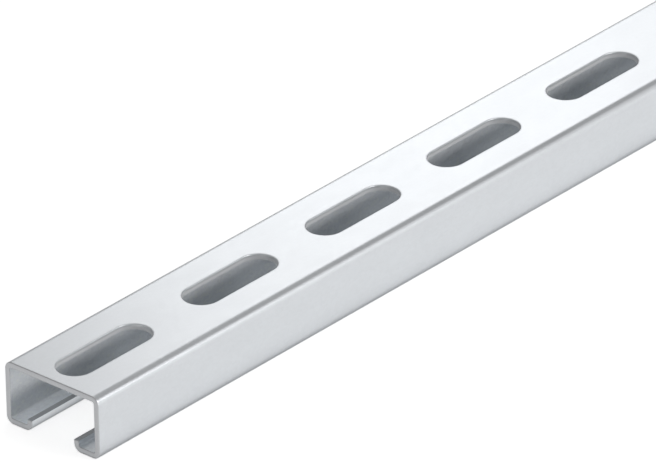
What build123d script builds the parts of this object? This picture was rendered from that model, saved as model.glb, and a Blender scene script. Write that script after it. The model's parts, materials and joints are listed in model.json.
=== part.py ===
"""Strut channel: one length of galvanised strip steel, punched with slots along its web and
roll-formed into a lipped C. It lies open side down: web on top, lips on the floor.

Frame, in millimetres: +X along the length, +Y across the web, +Z up, with the origin at the
middle of the footprint. The lips' undersides are at Z = 0.
"""
import os

from build123d import *

# Driving dimensions, mm
length = 600.0  # cut length of the piece
width = 40.0  # across the flanges, outside to outside
height = 22.5  # lip underside to web top
wall = 2.0  # strip thickness, the same all round
bend_radius = 0.8  # inside radius of each of the six rolled bends
mouth = 18.0  # clear gap between the two lips
return_height = 4.0  # lip underside to the turned-up tip

slot_length = 40.0  # punched slots, end to end
slot_width = 13.0  # across the flats, and the diameter of the round ends
slot_pitch = 60.0  # centre to centre
end_land = 5.0  # web left between the first slot and the cut end
rim_roll = 0.3  # soft upper edge that the punch leaves round a slot

# Worked out from them
outer_bend = bend_radius + wall
slot_count = int((length - 2 * end_land - slot_length) // slot_pitch) + 1
first_slot = -length / 2 + end_land + slot_length / 2
slot_centres = [first_slot + i * slot_pitch for i in range(slot_count)]


def strip_section():
    """The rolled strip seen from its end: outside line, thickened inwards by the wall."""
    flange = width / 2
    lip_edge = mouth / 2
    half_line = [(flange, height), (flange, 0), (lip_edge, 0), (lip_edge, return_height)]
    mirrored = [(-y, z) for y, z in half_line]
    with BuildSketch(Plane.YZ) as section:
        with BuildLine():
            FilletPolyline(*reversed(half_line), *mirrored, radius=outer_bend)
            offset(amount=wall, side=Side.LEFT)
        make_face()
    return section.sketch


def slot_punch():
    """A cutter for one slot, centred on the Z axis: its half section turned about Z makes the
    round ends, and run along X it makes the straight middle. Its flare leaves the soft rim."""
    flank = slot_width / 2
    roll = min(rim_roll, wall / 4)
    over, under = height + wall, height - 2 * wall
    with BuildSketch(Plane.YZ) as profile:
        with BuildLine():
            Polyline((flank + roll, height), (flank + roll, over), (0, over), (0, under),
                     (flank, under), (flank, height - roll))
            RadiusArc((flank, height - roll), (flank + roll, height), roll)
        make_face()
    half = profile.sketch
    round_end = revolve(half, Axis.Z)
    end_offset = (slot_length - slot_width) / 2
    middle = extrude(half + mirror(half, Plane.XZ), amount=end_offset, both=True)
    return middle + Pos(-end_offset) * round_end + Pos(end_offset) * round_end


def make_channel():
    """The rolled section run to length, with its row of slots punched through the web."""
    channel = extrude(strip_section(), amount=length / 2, both=True)
    punch = slot_punch()
    return channel - [Pos(x) * punch for x in slot_centres]


os.makedirs("parts", exist_ok=True)
export_step(make_channel(), "parts/channel.step")
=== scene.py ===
"""Looks of the strut channel: its detailed mesh, its galvanised finish, the studio and the camera."""
import json
import math

import bmesh
import bpy
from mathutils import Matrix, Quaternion, Vector


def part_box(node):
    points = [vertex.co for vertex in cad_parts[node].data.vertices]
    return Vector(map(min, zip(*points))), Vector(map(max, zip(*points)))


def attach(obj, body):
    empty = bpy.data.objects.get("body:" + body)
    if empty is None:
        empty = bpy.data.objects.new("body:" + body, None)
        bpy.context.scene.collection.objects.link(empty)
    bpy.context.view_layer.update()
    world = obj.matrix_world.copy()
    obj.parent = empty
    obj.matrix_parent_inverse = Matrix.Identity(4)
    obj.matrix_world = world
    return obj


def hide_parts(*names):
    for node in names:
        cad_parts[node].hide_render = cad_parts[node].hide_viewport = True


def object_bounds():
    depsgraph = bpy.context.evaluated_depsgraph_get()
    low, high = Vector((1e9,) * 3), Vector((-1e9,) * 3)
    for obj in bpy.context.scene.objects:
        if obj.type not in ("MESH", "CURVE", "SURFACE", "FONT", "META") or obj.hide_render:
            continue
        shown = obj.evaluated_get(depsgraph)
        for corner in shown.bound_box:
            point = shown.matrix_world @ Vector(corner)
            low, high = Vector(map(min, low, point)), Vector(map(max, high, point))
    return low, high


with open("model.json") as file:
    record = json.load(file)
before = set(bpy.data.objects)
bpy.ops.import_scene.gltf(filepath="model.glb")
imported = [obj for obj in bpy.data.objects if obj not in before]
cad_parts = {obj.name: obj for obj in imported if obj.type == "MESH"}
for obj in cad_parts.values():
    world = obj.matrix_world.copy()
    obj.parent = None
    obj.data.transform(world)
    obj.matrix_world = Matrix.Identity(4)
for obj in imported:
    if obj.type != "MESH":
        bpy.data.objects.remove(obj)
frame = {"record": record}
cad_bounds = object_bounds()

MM = 0.001

# Sizes of the rolled section in mm, as in the CAD part
WALL = 2.0
BEND_RADIUS = 0.8
MOUTH = 18.0
RETURN_HEIGHT = 4.0
RIM_ROLL = 0.3

# Fine relief in mm
CUT_BREAK = 0.28  # rounding of the sawn ends' edges
BREAKOUT = 0.10  # how much wider a slot is torn at its lower edge
BURR = 0.06  # height of the small lip that the punch leaves under a slot
FLAT_MARGIN = 0.25  # a narrow flat beside each bend, so that flats shade flat

# The profile of a punched wall
ROLL_MARGIN = 1.3  # depth of a narrow flat's lower edge, under the rolled rim, in rolls
SHEAR_SHARE = 0.45  # share of the wall that the punch shears before the steel tears
TEAR_OUT = 0.45  # share of the breakout that the tear takes at once,
TEAR_DOWN = 0.12  # within this share of the wall
BURR_FOOT = 1.5  # width of the burr, in burr heights

# Mesh fineness
BEND_STEPS = 10  # faces round one bend
SLOT_STEPS = 28  # faces round one slot end
ROLL_STEPS = 4  # faces across a rolled rim
BREAK_STEPS = 3  # faces across a broken edge
MERGE_SHARE = 0.1  # points this close merge, as a share of the burr's height
SHARP_ANGLE = math.radians(38)  # edges that turn by more than this stay crisp

# A bend's arc and its two flats, then half of one side of the strip: its tip and three bends
POINTS_PER_BEND = BEND_STEPS + 3
POINTS_PER_HALF = 1 + 3 * POINTS_PER_BEND
SECTION_POINTS = 4 * POINTS_PER_HALF
POINTS_PER_SLOT_END = SLOT_STEPS + 1
SLOT_POINTS = 2 * POINTS_PER_SLOT_END


# ---------------------------------------------------------------- node helpers


class Value:
    """A number in a node tree. Arithmetic on it adds Math nodes."""

    def __init__(self, nodes, socket):
        self.nodes = nodes
        self.socket = socket

    def __add__(self, other):
        return self.nodes.math("ADD", self, other)

    def __sub__(self, other):
        return self.nodes.math("SUBTRACT", self, other)

    def __rsub__(self, other):
        return self.nodes.math("SUBTRACT", other, self)

    def __mul__(self, other):
        return self.nodes.math("MULTIPLY", self, other)

    def __truediv__(self, other):
        return self.nodes.math("DIVIDE", self, other)

    def __mod__(self, other):
        return self.nodes.math("MODULO", self, other)

    def __gt__(self, other):
        return self.nodes.math("GREATER_THAN", self, other)

    def __lt__(self, other):
        return self.nodes.math("LESS_THAN", self, other)

    def __abs__(self):
        return self.nodes.math("ABSOLUTE", self)

    def whole(self):
        """The whole part, even of a whole number that arithmetic left a hair too low."""
        return self.nodes.math("FLOOR", self + 0.001)

    def sine(self):
        return self.nodes.math("SINE", self)

    def cosine(self):
        return self.nodes.math("COSINE", self)

    def least(self, other):
        return self.nodes.math("MINIMUM", self, other)

    def most(self, other):
        return self.nodes.math("MAXIMUM", self, other)

    __radd__ = __add__
    __rmul__ = __mul__


class Nodes:
    """A node tree under construction."""

    def __init__(self, tree):
        self.tree = tree

    def node(self, kind, links=None, **settings):
        """A node with its settings, and its inputs linked or set by name or number."""
        made = self.tree.nodes.new(kind)
        for key, value in settings.items():
            setattr(made, key, value)
        for key, value in (links or {}).items():
            self.link(made.inputs[key], value)
        return made

    def link(self, socket, value):
        """Links a socket to another's value, or sets it to a number."""
        if isinstance(value, Value):
            value = value.socket
        if isinstance(value, bpy.types.NodeSocket):
            self.tree.links.new(value, socket)
        else:
            socket.default_value = value

    def math(self, operation, *values):
        made = self.node("ShaderNodeMath", dict(enumerate(values)), operation=operation)
        return Value(self, made.outputs[0])

    def vector(self, x, y, z):
        return self.node("ShaderNodeCombineXYZ", {"X": x, "Y": y, "Z": z}).outputs[0]

    def split(self, vector):
        """The three coordinates of a vector."""
        made = self.node("ShaderNodeSeparateXYZ", {"Vector": vector})
        return [Value(self, made.outputs[axis]) for axis in "XYZ"]


class Shape(Nodes):
    """A Geometry Nodes tree under construction."""

    def __init__(self, name):
        super().__init__(bpy.data.node_groups.new(name, "GeometryNodeTree"))
        self.tree.interface.new_socket("Geometry", in_out="OUTPUT", socket_type="NodeSocketGeometry")
        self.inputs = self.tree.nodes.new("NodeGroupInput")
        self.output = self.tree.nodes.new("NodeGroupOutput")
        self.settings = {}

    def size(self, name, value):
        """A named input of the tree. Its value goes to the modifier later."""
        item = self.tree.interface.new_socket(name, in_out="INPUT", socket_type="NodeSocketFloat")
        item.default_value = value
        self.settings[item.identifier] = value
        return Value(self, self.inputs.outputs[name])

    def index(self):
        return Value(self, self.node("GeometryNodeInputIndex").outputs[0])

    def position(self):
        return self.split(self.node("GeometryNodeInputPosition").outputs[0])

    def pick(self, index, values):
        """One of the values, by index."""
        made = self.node("GeometryNodeIndexSwitch", data_type="FLOAT")
        while len(made.index_switch_items) < len(values):
            made.index_switch_items.new()
        self.link(made.inputs["Index"], index)
        for number, value in enumerate(values):
            self.link(made.inputs[number + 1], value)
        return Value(self, made.outputs[0])

    def place(self, geometry, position):
        """The geometry with each point moved to the position worked out for it."""
        links = {"Geometry": geometry, "Position": position}
        return self.node("GeometryNodeSetPosition", links).outputs[0]

    def join(self, *parts):
        made = self.node("GeometryNodeJoinGeometry")
        for part in parts:
            self.tree.links.new(part, made.inputs[0])
        return made.outputs[0]

    def tube(self, points, rings, position):
        """An open tube of rings of points, each placed by position(point, ring)."""
        links = {"Vertices": points, "Side Segments": rings - 1}
        made = self.node("GeometryNodeMeshCylinder", links, fill_type="NONE")
        index = self.index()
        ring = (index / points).whole()
        return self.place(made.outputs["Mesh"], position(index - ring * points, ring))

    def loop(self, points, position):
        """A closed curve through points, each placed by position(point)."""
        circle = self.node("GeometryNodeMeshCircle", {"Vertices": points}, fill_type="NONE")
        placed = self.place(circle.outputs[0], position(self.index()))
        return self.node("GeometryNodeMeshToCurve", {"Mesh": placed}).outputs[0]

    def fill(self, curve):
        """The flat face inside a curve in the XY plane, with the inner curves left open."""
        return self.node("GeometryNodeFillCurve", {"Curve": curve}, mode="TRIANGLES").outputs[0]

    def mark(self, geometry, name, value, domain="FACE"):
        """The geometry with a number stored on its faces or points, for the material to read."""
        links = {"Geometry": geometry, "Name": name, "Value": value}
        made = self.node("GeometryNodeStoreNamedAttribute", links, data_type="FLOAT", domain=domain)
        return made.outputs[0]


class Finish(Nodes):
    """A material's node tree under construction."""

    def __init__(self, name):
        self.material = bpy.data.materials.new(name)
        self.material.use_nodes = True
        super().__init__(self.material.node_tree)
        self.shader = self.tree.nodes["Principled BSDF"]
        self.place = self.node("ShaderNodeTexCoord").outputs["Object"]

    def mark(self, name):
        """The number that the mesh stores under this name, on its faces or its points."""
        return Value(self, self.node("ShaderNodeAttribute", attribute_name=name).outputs["Fac"])

    def stretched(self, stretch, turn=(0.0, 0.0, 0.0)):
        """Object coordinates in features per mm along each axis."""
        scale = tuple(s / MM for s in stretch)
        links = {"Vector": self.place, "Rotation": turn, "Scale": scale}
        return self.node("ShaderNodeMapping", links).outputs[0]

    def noise(self, stretch, detail=2.0, turn=(0.0, 0.0, 0.0)):
        """Noise from -1 to 1, with so many features per mm along each axis."""
        links = {"Vector": self.stretched(stretch, turn), "Scale": 1.0, "Detail": detail}
        return (Value(self, self.node("ShaderNodeTexNoise", links).outputs[0]) - 0.5) * 2

    def grains(self, stretch):
        """A number from -1 to 1 for each of the zinc's crystals, with so many per mm."""
        made = self.node("ShaderNodeTexVoronoi", {"Vector": self.stretched(stretch), "Scale": 1.0})
        return (self.split(made.outputs["Color"])[0] - 0.5) * 2

    def shade(self, colour, amount):
        """A colour made lighter or darker by an amount."""
        links = {0: colour, "Scale": amount}
        return self.node("ShaderNodeVectorMath", links, operation="SCALE").outputs[0]

    def blend(self, amount, first, second):
        """One number or colour turning into another."""
        if isinstance(first, (Value, float)):
            return first + amount * (second - first)
        made = self.node("ShaderNodeMix", {0: amount, 6: first, 7: second}, data_type="RGBA")
        return made.outputs[2]


# ---------------------------------------------------------------- channel mesh


def section_point(shape, sizes, point, inset):
    """Across and up of one point on the section's closed outline, which runs along the strip's
    outside from tip to tip and back along its inside. An inset draws the outline in all round."""
    per_side = 2 * POINTS_PER_HALF
    back = (point / per_side).whole()
    along = point - back * per_side
    second = (along / POINTS_PER_HALF).whole()
    from_tip = along.least(per_side - 1 - along)
    side = 1 - 2 * ((second + back) % 2)

    bend = ((from_tip - 1) / POINTS_PER_BEND).whole().most(0)
    step = from_tip - 2 - bend * POINTS_PER_BEND
    outer_bend = sizes["Bend Radius"] + sizes["Wall"]
    depth = inset + back * (sizes["Wall"] - inset * 2)
    radius = outer_bend - depth
    lip_bend = sizes["Mouth"] / 2 + outer_bend
    flange_bend = sizes["Width"] / 2 - outer_bend
    centre_y = shape.pick(bend, [lip_bend, flange_bend, flange_bend])
    centre_z = shape.pick(bend, [outer_bend, outer_bend, sizes["Height"] - outer_bend])
    turn = (step / BEND_STEPS).most(0).least(1)
    angle = (bend + turn + 2) * (math.pi / 2)
    margin = sizes["Flat Margin"] * ((step > BEND_STEPS + 0.5) - (step < -0.5))
    y = centre_y + radius * angle.cosine() - margin * angle.sine()
    z = centre_z + radius * angle.sine() + margin * angle.cosine()

    at_tip = from_tip < 0.5
    tip_y = sizes["Mouth"] / 2 + depth
    tip_z = sizes["Return Height"] - inset
    y = y + at_tip * (tip_y - y)
    z = z + at_tip * (tip_z - z)
    return y * side, z


def broken_edge(size, margin):
    """(inset, depth) of the rings that round a cut edge, from the cut face to the side."""
    rings = [(size + margin, 0.0)]
    for step in range(BREAK_STEPS + 1):
        angle = step / BREAK_STEPS * math.pi / 2
        rings.append((size * (1 - math.sin(angle)), size * (1 - math.cos(angle))))
    rings.append((0.0, size + margin))
    return rings


def rolled_strip(shape, sizes):
    """The strip run from end to end, with broken edges at the cuts and no web face, where the
    punched web goes. The lips' tips are the strip's own slit edges."""
    rings = broken_edge(sizes["Cut Break"], sizes["Flat Margin"])
    total = 2 * len(rings)

    def position(point, ring):
        from_end = ring.least(total - 1 - ring)
        inset = shape.pick(from_end, [r[0] for r in rings])
        depth = shape.pick(from_end, [r[1] for r in rings])
        side = 1 - 2 * (ring < len(rings) - 0.5)
        y, z = section_point(shape, sizes, point, inset)
        return shape.vector(side * (sizes["Length"] / 2 - depth), y, z)

    strip = shape.tube(SECTION_POINTS, total, position)
    point = shape.index() % SECTION_POINTS
    strip = shape.mark(strip, "inside", point > SECTION_POINTS / 2 - 0.5, domain="POINT")
    x, y, z = shape.position()  # a face's position is its middle
    strip = shape.mark(strip, "slit", abs(z - sizes["Return Height"]) < 0.01)
    on_web = (abs(x) < 1.0) * (abs(y) < 1.0) * (z > sizes["Height"] - sizes["Wall"] * 1.5)
    links = {"Geometry": strip, "Selection": on_web}
    return shape.node("GeometryNodeDeleteGeometry", links, domain="FACE", mode="ONLY_FACE").outputs[0]


def cut_faces(shape, sizes):
    """The sawn faces that close both ends."""
    inset = sizes["Cut Break"] + sizes["Flat Margin"]

    def outline(point):
        y, z = section_point(shape, sizes, point, inset)
        return shape.vector(y, z, 0.0)

    flat = shape.fill(shape.loop(SECTION_POINTS, outline))
    y, z, _ = shape.position()
    ends = [shape.place(flat, shape.vector(sizes["Length"] * half, y, z)) for half in (-0.5, 0.5)]
    return shape.join(*ends)


def slot_outline(sizes, point, outset):
    """Along and across of one point on a slot's outline, drawn outwards by the outset."""
    end = (point / POINTS_PER_SLOT_END).whole()
    step = point - end * POINTS_PER_SLOT_END
    angle = step / SLOT_STEPS * math.pi + end * math.pi - math.pi / 2
    radius = sizes["Slot Width"] / 2 + outset
    centre = (sizes["Slot Length"] - sizes["Slot Width"]) / 2
    return (1 - 2 * end) * centre + radius * angle.cosine(), radius * angle.sine()


def punched_rim(shape, sizes):
    """One slot's wall, centred on the origin: rolled rim, sheared band, torn band, burr."""
    roll, wall, margin = sizes["Rim Roll"], sizes["Wall"], sizes["Flat Margin"]
    breakout, burr = sizes["Breakout"], sizes["Burr"]
    sheared = wall * SHEAR_SHARE
    rings = [(roll + margin, 0.0)]
    for step in range(ROLL_STEPS + 1):
        angle = step / ROLL_STEPS * math.pi / 2
        rings.append((roll * (1 - math.sin(angle)), roll * (1 - math.cos(angle))))
    rings += [(0.0, roll * ROLL_MARGIN), (0.0, sheared),
              (breakout * TEAR_OUT, sheared + wall * TEAR_DOWN), (breakout, wall + burr),
              (breakout + burr * BURR_FOOT, wall), (breakout + margin, wall)]

    def position(point, ring):
        outset = shape.pick(ring, [r[0] for r in rings])
        drop = shape.pick(ring, [r[1] for r in rings])
        x, y = slot_outline(sizes, point, outset)
        return shape.vector(x, y, sizes["Height"] - drop)

    rim = shape.tube(SLOT_POINTS, len(rings), position)
    drop = sizes["Height"] - shape.position()[2]
    rim = shape.mark(rim, "rim", drop < roll)
    rim = shape.mark(rim, "sheared", (drop > roll) * (drop < sheared))
    on_underside = abs(drop - wall) < burr * MERGE_SHARE
    return shape.mark(rim, "torn", (drop > sheared) * (1 - on_underside))


def slotted_face(shape, sizes, centres, outset, height):
    """One side of the web, flat, with a hole for every slot."""
    end_margin = sizes["Cut Break"] + sizes["Flat Margin"]
    edge_margin = sizes["Bend Radius"] + sizes["Wall"] + sizes["Flat Margin"]
    links = {"Width": sizes["Length"] - end_margin * 2, "Height": sizes["Width"] - edge_margin * 2}
    outline = shape.node("GeometryNodeCurvePrimitiveQuadrilateral", links).outputs[0]

    def hole(point):
        x, y = slot_outline(sizes, point, outset)
        return shape.vector(x, y, 0.0)

    links = {"Points": centres, "Instance": shape.loop(SLOT_POINTS, hole)}
    holes = shape.node("GeometryNodeInstanceOnPoints", links).outputs[0]
    holes = shape.node("GeometryNodeRealizeInstances", {"Geometry": holes}).outputs[0]
    links = {"Geometry": shape.fill(shape.join(outline, holes)),
             "Translation": shape.vector(0.0, 0.0, height)}
    return shape.node("GeometryNodeTransform", links).outputs[0]


def channel_shape(material):
    """The whole channel from its sizes in mm, ending in metres."""
    low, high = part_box("channel")
    slots = [mount for mount in frame["record"]["mounts"] if mount["kind"] == "bolt_pattern"]
    dims = slots[0]["dims"]
    first_pair = min(mount["pos_m"][0] for mount in slots) / MM
    shape = Shape("strut_channel")
    sizes = {name: shape.size(name, value) for name, value in {
        "Length": (high.x - low.x) / MM,
        "Width": (high.y - low.y) / MM,
        "Height": (high.z - low.z) / MM,
        "Wall": WALL,
        "Bend Radius": BEND_RADIUS,
        "Mouth": MOUTH,
        "Return Height": RETURN_HEIGHT,
        "Slot Length": dims["slot_length_mm"],
        "Slot Width": dims["hole_r_mm"] * 2,
        "Slot Pitch": dims["spacing_x_mm"],
        "First Slot": first_pair - dims["spacing_x_mm"] / 2,
        "Slot Count": len(slots) * dims["count"],
        "Rim Roll": RIM_ROLL,
        "Breakout": BREAKOUT,
        "Burr": BURR,
        "Cut Break": CUT_BREAK,
        "Flat Margin": FLAT_MARGIN,
    }.items()}
    margin = sizes["Flat Margin"]

    links = {"Count": sizes["Slot Count"],
             "Start Location": shape.vector(sizes["First Slot"], 0.0, 0.0),
             "Offset": shape.vector(sizes["Slot Pitch"], 0.0, 0.0)}
    centres = shape.node("GeometryNodeMeshLine", links).outputs[0]
    links = {"Points": centres, "Instance": punched_rim(shape, sizes)}
    rims = shape.node("GeometryNodeInstanceOnPoints", links).outputs[0]
    top = slotted_face(shape, sizes, centres, sizes["Rim Roll"] + margin, sizes["Height"])
    under = slotted_face(shape, sizes, centres, sizes["Breakout"] + margin,
                         sizes["Height"] - sizes["Wall"])
    whole = shape.join(rolled_strip(shape, sizes), cut_faces(shape, sizes), rims, top, under)
    whole = shape.node("GeometryNodeRealizeInstances", {"Geometry": whole}).outputs[0]
    links = {"Geometry": whole, "Distance": sizes["Burr"] * MERGE_SHARE}
    whole = shape.node("GeometryNodeMergeByDistance", links).outputs[0]
    from_middle = abs(shape.position()[0])
    whole = shape.mark(whole, "sawn", from_middle > sizes["Length"] / 2 - sizes["Cut Break"])
    links = {"Geometry": whole, "Scale": (MM, MM, MM)}
    whole = shape.node("GeometryNodeTransform", links).outputs[0]
    links = {"Geometry": whole, "Material": material}
    shape.link(shape.output.inputs[0], shape.node("GeometryNodeSetMaterial", links).outputs[0])
    return shape


def finish_mesh(mesh):
    """Faces outwards, smooth round the bends and crisp at the torn edges."""
    work = bmesh.new()
    work.from_mesh(mesh)
    bmesh.ops.recalc_face_normals(work, faces=work.faces)
    for face in work.faces:
        face.smooth = True
    for edge in work.edges:
        edge.smooth = edge.calc_face_angle() < SHARP_ANGLE
    work.to_mesh(mesh)
    work.free()


def make_channel(material):
    """The channel as a plain mesh object, made by its tree."""
    shape = channel_shape(material)
    maker = bpy.data.objects.new("channel_maker", bpy.data.meshes.new("channel_maker"))
    bpy.context.scene.collection.objects.link(maker)
    modifier = maker.modifiers.new("strut_channel", "NODES")
    modifier.node_group = shape.tree
    for identifier, value in shape.settings.items():
        modifier[identifier] = value
    evaluated = maker.evaluated_get(bpy.context.evaluated_depsgraph_get())
    mesh = bpy.data.meshes.new_from_object(evaluated)
    mesh.name = "strut_channel"
    mesh.materials.pop(index=0)  # the empty slot that the primitives bring
    bpy.data.objects.remove(maker)
    finish_mesh(mesh)
    channel = bpy.data.objects.new("strut_channel", mesh)
    bpy.context.scene.collection.objects.link(channel)
    return channel


# ---------------------------------------------------------------- materials

ZINC = (0.825, 0.85, 0.876)
STEEL = (0.635, 0.645, 0.66)  # slit and sawn
PUNCHED_STEEL = (0.84, 0.85, 0.865)  # sheared and torn


def galvanised_steel():
    """Zinc on every rolled face, and bare steel where the strip was slit, punched and sawn.

    Colours are scaled by 1 and a sum of shares, and heights are in mm."""
    finish = Finish("strip_galvanised")
    inside, rim, slit, sawn, sheared, torn = (
        finish.mark(name) for name in ("inside", "rim", "slit", "sawn", "sheared", "torn"))
    bare = (slit + sawn + sheared + torn).least(1)

    cloud = finish.noise((0.05, 0.13, 0.13), detail=3)
    grain = finish.grains((0.8, 1.1, 1.1))
    rolling = finish.noise((0.004, 4.0, 4.0))
    wave = finish.noise((0.15, 0.5, 0.5))
    spangle = grain * (0.014 + inside * 0.04)
    # painted light: the zinc inside the channel is painted 12 percent lighter to lift the shade in
    # there; its stronger spangle and roughness are the finish itself
    zinc = finish.shade(ZINC, 1 + inside * 0.12 + cloud * 0.03 + spangle + rolling * 0.018)
    zinc_roughness = 0.32 + inside * 0.07 + rim * 0.06
    zinc_roughness = zinc_roughness + cloud * 0.03 + grain * 0.015 + rolling * 0.03
    zinc_height = wave * 0.0012 + rolling * 0.0002

    saw_lines = finish.noise((0.2, 0.4, 7.0), turn=(math.radians(24), 0.0, 0.0)) * sawn
    shear_lines = finish.noise((7.0, 7.0, 0.25)) * sheared
    grit = finish.noise((6.0, 6.0, 6.0), detail=3) * torn
    marks = 1 + torn * 0.10 - slit * 0.20 + saw_lines * 0.10 + shear_lines * 0.08 + grit * 0.10
    punched, cut = finish.shade(PUNCHED_STEEL, marks), finish.shade(STEEL, marks)
    steel = finish.blend((slit + sawn).least(1), punched, cut)
    steel_roughness = 0.45 + torn * 0.25 + saw_lines * 0.06
    steel_height = saw_lines * 0.0015 + shear_lines * 0.0015 + grit * 0.006

    finish.link(finish.shader.inputs["Base Color"], finish.blend(bare, zinc, steel))
    finish.link(finish.shader.inputs["Metallic"], 1 - sheared * 0.35 - torn * 0.9)
    finish.link(finish.shader.inputs["Roughness"], finish.blend(bare, zinc_roughness, steel_roughness))
    links = {"Height": finish.blend(bare, zinc_height, steel_height), "Distance": MM}
    finish.link(finish.shader.inputs["Normal"], finish.node("ShaderNodeBump", links).outputs[0])
    return finish.material


# ---------------------------------------------------------------- studio

# Plain white added to the floor. Where the steel mirrors it, it is painted contact shadow and painted
# light
GLOW_SEEN = 0.70  # as the camera sees it
GLOW_BESIDE = 0.37  # as the steel mirrors it, beside the flanges and past the ends
# painted light under the mouth, brightest at a cut end, and painted shade further in under the web
GLOW_AT_CUT = 0.85  # as the steel mirrors it, under the middle of the mouth at a cut end
GLOW_INWARDS = 0.63  # and further in
CUT_REACH = 30.0  # mm over which the one turns into the other
# painted contact shadow in the mirrored glow beside each foot
SHADE_START = 3.0  # mm from the flat of a foot to where the glow beside it starts
SHADE_REACH = 6.0  # mm over which it grows to the full

ROOM_LIGHT = 0.35  # strength of the world, except to the camera
LAMP_AIM = Vector((-0.08, 0.0, 0.02))  # m, about the middle of what the camera sees

# Heading from +X towards +Y and height above the floor in degrees, distance, width and height in
# metres, and brightness, where 1 is white
LAMPS = {
    "back_softbox": (43, 29, 0.75, 0.28, 0.28, 0.84),
    "back_fill": (43, 34, 0.75, 0.42, 0.40, 0.33),
    "side_softbox": (-80, 30, 0.75, 0.34, 0.32, 2.4),
    "side_strip": (-90, 6, 1.50, 0.80, 0.25, 6.0),
    "right_low": (-55, 12, 0.75, 0.28, 0.28, 0.68),
    "right_high": (-45, 32, 0.75, 0.30, 0.25, 0.36),
    "overhead": (0, 86, 1.20, 0.90, 0.60, 0.50),
}


def floor_material():
    """A pale matt floor that keeps a faint shadow. The glow that the steel mirrors is painted: a
    painted contact shadow at its feet, which are the flats under its lips, and painted light under its
    mouth, most of all near a cut end."""
    _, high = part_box("channel")
    end, flank = high.x / MM, high.y / MM
    outer_bend = WALL + BEND_RADIUS
    foot_inner, foot_outer = MOUTH / 2 + outer_bend, flank - outer_bend
    floor = Finish("studio_floor")
    x, y, _ = (abs(place) / MM for place in floor.split(floor.place))
    # painted contact shadow: the mirrored glow is dark at the feet and grows away from them
    beside = (y - (foot_outer + SHADE_START)) / SHADE_REACH
    beside = beside.most(x - end).most(0).least(1) * GLOW_BESIDE
    # painted light under the mouth near a cut end, fading to painted shade further in
    from_cut = ((end - x) / CUT_REACH).most(0).least(1)
    under = (1 - y / foot_inner) * floor.blend(from_cut, GLOW_AT_CUT, GLOW_INWARDS) * (x < end)
    rays = floor.node("ShaderNodeLightPath").outputs
    glow = Value(floor, rays["Is Camera Ray"]) * GLOW_SEEN
    glow = glow + Value(floor, rays["Is Glossy Ray"]) * beside.most(under)
    shader = floor.shader
    shader.inputs["Base Color"].default_value = (0.8, 0.8, 0.8, 1.0)
    shader.inputs["Roughness"].default_value = 1.0
    shader.inputs["Specular IOR Level"].default_value = 0.0
    shader.inputs["Emission Color"].default_value = (1.0, 1.0, 1.0, 1.0)
    floor.link(shader.inputs["Emission Strength"], glow)
    return floor.material


def make_world():
    """A white room to the camera, and a soft light on everything else."""
    world = bpy.data.worlds.new("studio")
    bpy.context.scene.world = world
    world.use_nodes = True
    room = Nodes(world.node_tree)
    seen = Value(room, room.node("ShaderNodeLightPath").outputs["Is Camera Ray"])
    back = room.tree.nodes["Background"]
    back.inputs["Color"].default_value = (1.0, 1.0, 1.0, 1.0)
    room.link(back.inputs["Strength"], ROOM_LIGHT + seen * (1 - ROOM_LIGHT))


def make_lamp(name, heading, height, distance, wide, tall, brightness):
    """A soft box that the camera doesn't see."""
    heading, height = math.radians(heading), math.radians(height)
    towards = Vector((math.cos(height) * math.cos(heading), math.cos(height) * math.sin(heading),
                      math.sin(height)))
    data = bpy.data.lights.new(name, "AREA")
    data.shape = "RECTANGLE"
    data.size = wide
    data.size_y = tall
    data.energy = brightness * math.pi * wide * tall
    lamp = bpy.data.objects.new(name, data)
    bpy.context.scene.collection.objects.link(lamp)
    lamp.location = LAMP_AIM + towards * distance
    lamp.rotation_euler = towards.to_track_quat("Z", "Y").to_euler()
    lamp.visible_camera = False


def make_floor(material, reach=40.0, gap=0.00005):
    """A wide floor, a hair under the channel's lips."""
    corners = [(-reach, -reach, 0), (reach, -reach, 0), (reach, reach, 0), (-reach, reach, 0)]
    mesh = bpy.data.meshes.new("floor")
    mesh.from_pydata(corners, [], [(0, 1, 2, 3)])
    mesh.materials.append(material)
    floor = bpy.data.objects.new("floor", mesh)
    bpy.context.scene.collection.objects.link(floor)
    floor.location.z = cad_bounds[0].z - gap


def make_camera():
    """A long lens from the front left, a little above, turned a touch about its own line."""
    aim = Vector((-0.1557, 0.0105, 0.01125))
    heading, dip, roll = (math.radians(a) for a in (41.94, 28.59, 1.28))
    distance = 3.966
    forward = Vector((math.cos(dip) * math.cos(heading), math.cos(dip) * math.sin(heading),
                      -math.sin(dip)))
    data = bpy.data.cameras.new("camera")
    data.lens = 670.0
    data.clip_end = 100.0
    camera = bpy.data.objects.new("camera", data)
    bpy.context.scene.collection.objects.link(camera)
    camera.location = aim - forward * distance
    camera.rotation_mode = "QUATERNION"
    camera.rotation_quaternion = forward.to_track_quat("-Z", "Y") @ Quaternion((0, 0, 1), -roll)
    bpy.context.scene.camera = camera


bpy.context.scene.view_settings.view_transform = "Standard"
channel = make_channel(galvanised_steel())
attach(channel, "root")
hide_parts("channel")
make_world()
make_floor(floor_material())
for name, place in LAMPS.items():
    make_lamp(name, *place)
make_camera()
